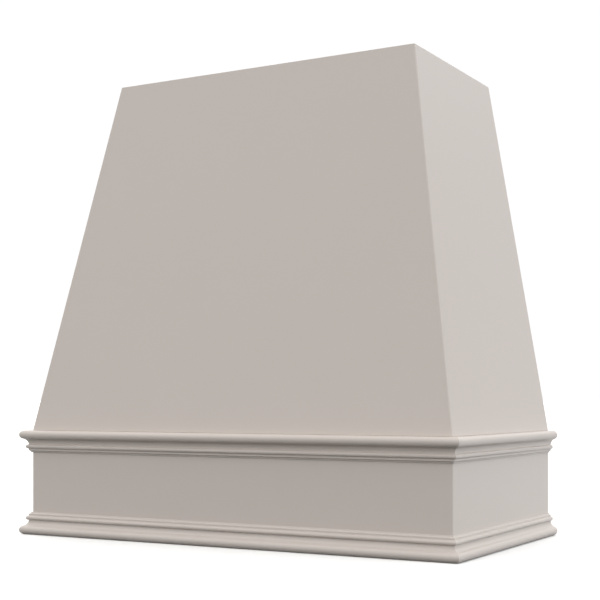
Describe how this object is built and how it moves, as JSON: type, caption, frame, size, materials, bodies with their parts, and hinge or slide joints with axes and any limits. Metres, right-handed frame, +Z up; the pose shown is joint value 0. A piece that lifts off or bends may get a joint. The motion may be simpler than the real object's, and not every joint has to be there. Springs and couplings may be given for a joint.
{
  "type": "range hood cover",
  "caption": "Wooden range hood cover: tapered shell on a straight band with a classic moulding above and below, open at the bottom for an insert and at the top for a duct.",
  "frame": {"origin": "middle of the bounding box's bottom face: z = 0 is the lower rim, and the wall plane is y = +0.257175 m", "axes": "+X along the wall towards the cover's right side as seen from the room, +Y towards the wall, +Z up"},
  "size_m": [0.9524, 0.5144, 0.9144],
  "materials": {
    "painted_wood": "smooth satin paint, warm greige, over sanded hardwood and fibreboard",
    "raw_poplar": "planed and unfinished hardwood strips",
    "raw_plywood": "unfinished birch plywood with visible plies at the edges",
    "spline_plywood": "unfinished thin plywood, glued in",
    "zinc_screws": "zinc-plated wood screws"
  },
  "bodies": {
    "root": {"front_panel": "painted_wood", "left_side_panel": "painted_wood", "right_side_panel": "painted_wood", "apron_front": "painted_wood", "apron_left": "painted_wood", "apron_right": "painted_wood", "top_moulding_front": "painted_wood", "top_moulding_left": "painted_wood", "top_moulding_right": "painted_wood", "bottom_moulding_front": "painted_wood", "bottom_moulding_left": "painted_wood", "bottom_moulding_right": "painted_wood", "top_cleat_front": "raw_poplar", "top_cleat_left": "raw_poplar", "top_cleat_right": "raw_poplar", "seam_rail_front": "raw_poplar", "seam_rail_left": "raw_poplar", "seam_rail_right": "raw_poplar", "insert_ledger_front": "raw_poplar", "insert_ledger_back": "raw_poplar", "insert_ledger_left": "raw_poplar", "insert_ledger_right": "raw_poplar", "shell_blocks_left": "raw_poplar", "shell_blocks_right": "raw_poplar", "apron_blocks": "raw_poplar", "back_rail_top": "raw_plywood", "back_rail_bottom": "raw_plywood", "hood_cleat": "raw_plywood", "wall_cleat": "raw_plywood", "shell_splines": "spline_plywood", "apron_splines": "spline_plywood", "cleat_screws": "zinc_screws", "seam_rail_screws": "zinc_screws", "ledger_screws": "zinc_screws", "top_cleat_screws": "zinc_screws"}
  },
  "joints": []
}
